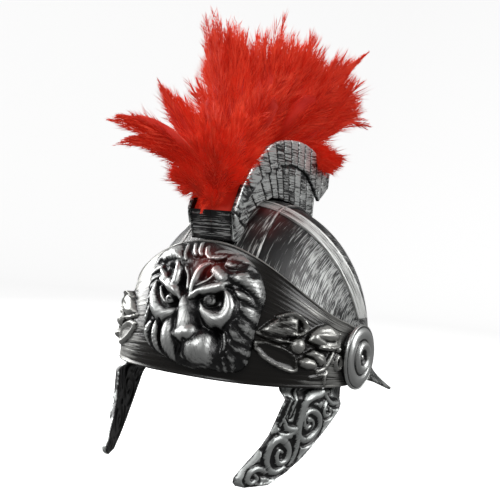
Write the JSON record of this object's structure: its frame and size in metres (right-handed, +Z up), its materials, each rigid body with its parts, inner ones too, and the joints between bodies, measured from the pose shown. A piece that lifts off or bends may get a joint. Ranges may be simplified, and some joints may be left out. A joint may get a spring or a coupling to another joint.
{
  "type": "roman legionary helmet",
  "caption": "Domed parade helmet with a lion-mask brow band, hinged cheek guards, a flared neck guard and a fluffy plume in a plank-sided crest holder.",
  "frame": {"origin": "middle of the head opening, at the level of the brow band's lower edge", "axes": "+Z up through the crown, -Y out of the face, +X to the wearer's left"},
  "size_m": [0.2126, 0.3347, 0.3601],
  "materials": {
    "antique_silver": "black plastic brushed with silver paint",
    "dark_silver": "black plastic with thin silver streaks",
    "bright_silver": "black plastic with silver on the raised forms",
    "crest_silver": "black plastic with a worn silver wood grain",
    "feather": "soft dyed feathers"
  },
  "bodies": {
    "shell": {"skull_shell": "antique_silver", "brow_band": "dark_silver", "lion_mask": "bright_silver", "rosette_left": "bright_silver", "rosette_right": "bright_silver", "crest_half_left": "crest_silver", "crest_half_right": "crest_silver", "plume": "feather"},
    "cheek_left": {"cheek_guard_left": "antique_silver"},
    "cheek_right": {"cheek_guard_right": "antique_silver"}
  },
  "joints": [
    {"name": "cheek_left_hinge", "type": "hinge", "parent": "shell", "child": "cheek_left", "pos_m": [0.1, -0.0207, 0.0204], "axis": [0.9936, -0.1132, 0], "range_deg": [-2, 35]},
    {"name": "cheek_right_hinge", "type": "hinge", "parent": "shell", "child": "cheek_right", "pos_m": [-0.1, -0.0207, 0.0204], "axis": [0.9936, 0.1132, 0], "range_deg": [-2, 35]}
  ]
}
